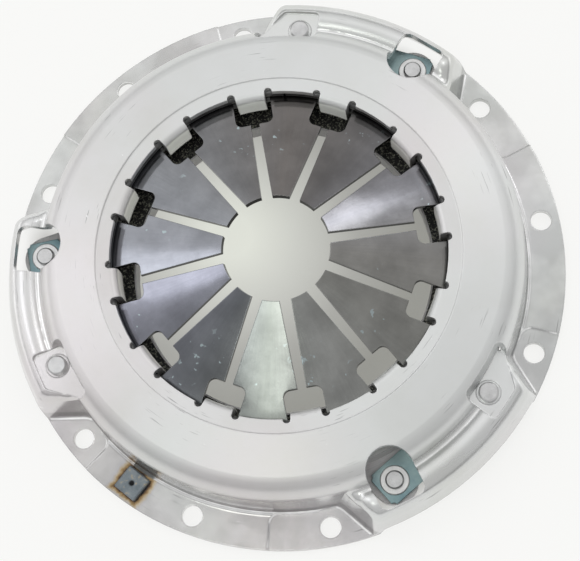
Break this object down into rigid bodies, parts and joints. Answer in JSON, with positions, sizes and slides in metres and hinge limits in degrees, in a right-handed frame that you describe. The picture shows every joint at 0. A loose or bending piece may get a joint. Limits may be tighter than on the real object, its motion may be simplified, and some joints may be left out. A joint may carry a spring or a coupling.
{
  "type": "clutch pressure plate",
  "caption": "Diaphragm-spring clutch cover: pressed steel cover, slotted spring between wire rings, and a cast pressure plate on leaf straps.",
  "frame": {"origin": "centre of the bolt circle, on the face that bolts to the flywheel", "axes": "+Z along the clutch axis, towards the release bearing; +X through one of the dowel holes"},
  "size_m": [0.2459, 0.246, 0.0396],
  "materials": {
    "cover_steel": "bright pressed sheet steel, satin",
    "spring_steel": "tempered spring steel, smooth dark oil finish",
    "wire_steel": "drawn spring wire, dark",
    "plate_iron": "dark cast skin with machined faces",
    "strap_steel": "blued spring strip",
    "rivet_steel": "bright upset steel",
    "washer_steel": "bright turned steel",
    "weight_steel": "dark blue-grey steel"
  },
  "bodies": {
    "cover_assembly": {"cover": "cover_steel", "diaphragm_spring": "spring_steel", "upper_fulcrum_ring": "wire_steel", "lower_fulcrum_ring": "wire_steel", "drive_strap_1_lower_leaf": "strap_steel", "drive_strap_1_upper_leaf": "strap_steel", "drive_strap_2_lower_leaf": "strap_steel", "drive_strap_2_upper_leaf": "strap_steel", "drive_strap_3_lower_leaf": "strap_steel", "drive_strap_3_upper_leaf": "strap_steel", "cover_strap_rivet_1": "rivet_steel", "cover_strap_rivet_2": "rivet_steel", "cover_strap_rivet_3": "rivet_steel", "balance_weight": "weight_steel"},
    "plate": {"pressure_plate": "plate_iron", "plate_strap_rivet_1": "rivet_steel", "plate_strap_rivet_2": "rivet_steel", "plate_strap_rivet_3": "rivet_steel", "plate_rivet_washer_1": "washer_steel", "plate_rivet_washer_2": "washer_steel", "plate_rivet_washer_3": "washer_steel"}
  },
  "joints": [
    {"name": "plate_lift", "type": "slide", "parent": "cover_assembly", "child": "plate", "axis": [0, 0, 1], "range_m": [0, 0.0075], "stiffness_N_per_m": 20000, "deforming": ["diaphragm_spring", "drive_strap_1_lower_leaf", "drive_strap_1_upper_leaf", "drive_strap_2_lower_leaf", "drive_strap_2_upper_leaf", "drive_strap_3_lower_leaf", "drive_strap_3_upper_leaf"]}
  ]
}
